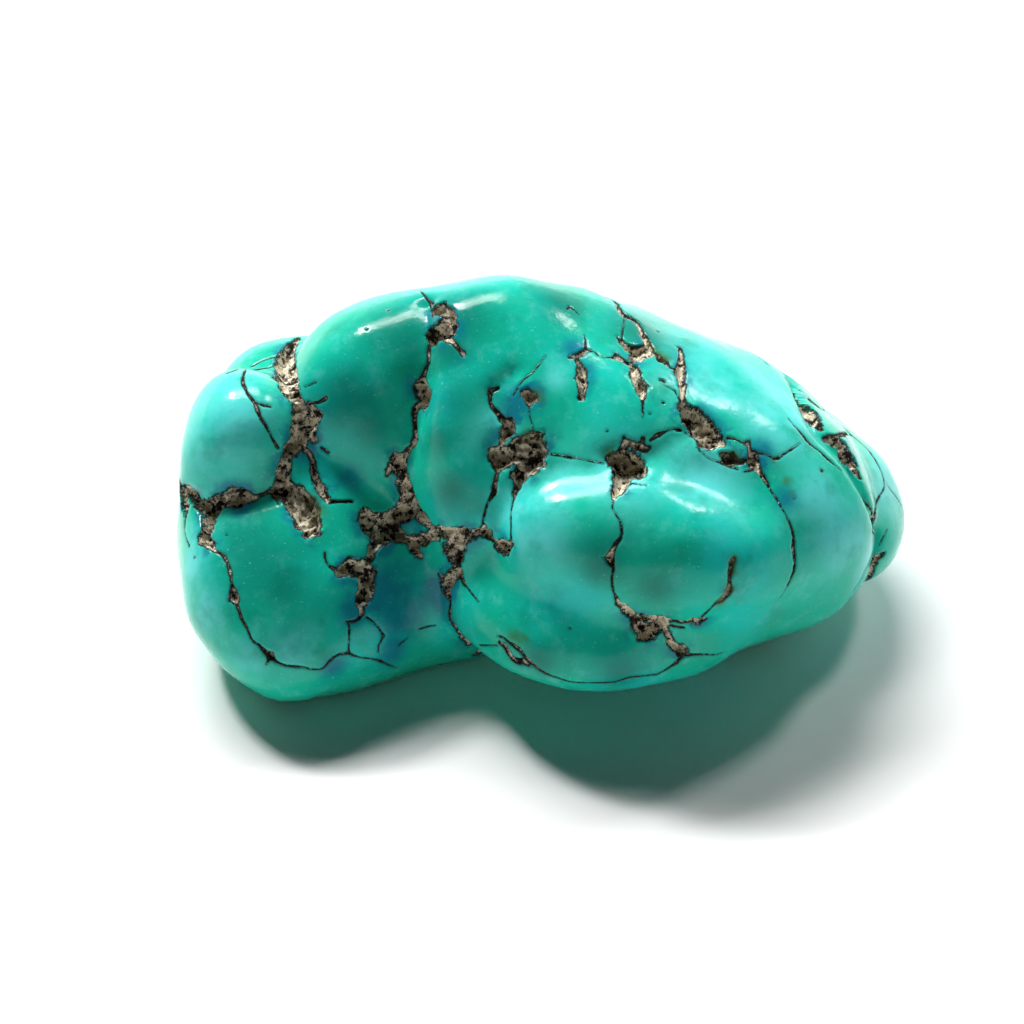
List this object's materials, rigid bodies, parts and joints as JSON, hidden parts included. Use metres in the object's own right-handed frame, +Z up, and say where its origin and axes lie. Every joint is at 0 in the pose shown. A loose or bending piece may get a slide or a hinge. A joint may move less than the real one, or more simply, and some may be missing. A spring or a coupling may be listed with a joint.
{
  "type": "raw turquoise nugget",
  "caption": "Tumble-polished turquoise nugget of rounded lobes, with matrix-filled pits and cracks worn into it, lying on the flat worn into its underside",
  "frame": {"origin": "Middle of the outline from above, on the plane the stone lies on (bottom centre of the bounding box)", "axes": "X along the stone's longest extent, from the small head lobe to the narrow nose; Y across it, away from the front; Z up"},
  "size_m": [0.0564, 0.0341, 0.0271],
  "materials": {
    "turquoise": "polished, with dull brown-grey matrix in the pits"
  },
  "bodies": {
    "root": {"nugget": "turquoise"}
  },
  "joints": []
}
